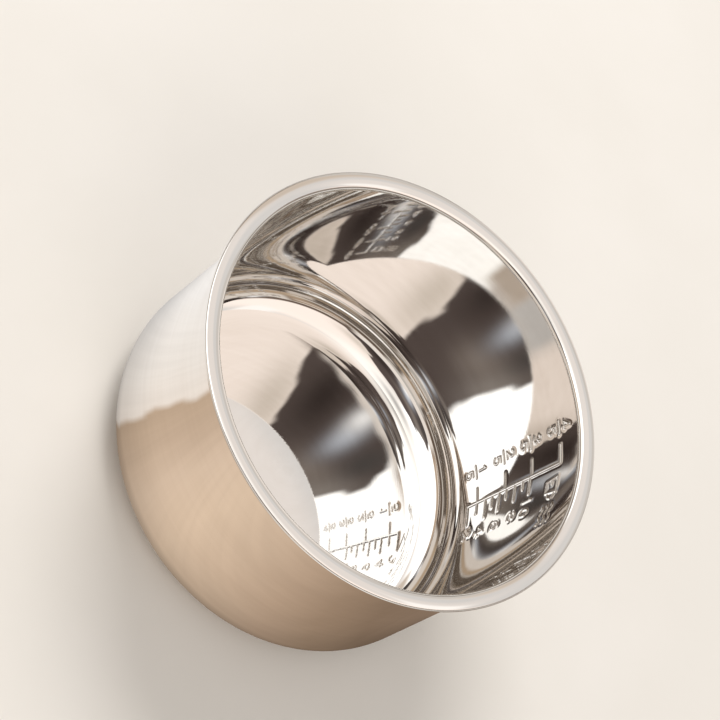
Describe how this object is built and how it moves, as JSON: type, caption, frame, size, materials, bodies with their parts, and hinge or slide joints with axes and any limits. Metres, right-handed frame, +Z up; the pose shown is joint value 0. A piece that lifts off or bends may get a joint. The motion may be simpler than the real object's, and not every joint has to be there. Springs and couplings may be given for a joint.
{
  "type": "rice cooker inner pot",
  "caption": "Round mirror-polished steel inner pot for a rice cooker, with an out-turned rolled rim, rounded corner, gently domed floor, raised fill scale and bonded base.",
  "frame": {"origin": "centre of the base, on the surface that the pot stands on", "axes": "+Z up along the pot's axis, through the mouth; the raised fill scale is on the inside of the wall, between +X and +Y"},
  "size_m": [0.242, 0.242, 0.1301],
  "materials": {
    "polished_steel": "mirror polished stainless steel",
    "aluminium_core": "rolled aluminium",
    "satin_steel": "satin stainless steel with turned rings"
  },
  "bodies": {
    "root": {"pot_shell": "polished_steel", "heat_spreader_disc": "aluminium_core", "base_plate": "satin_steel"}
  },
  "joints": []
}
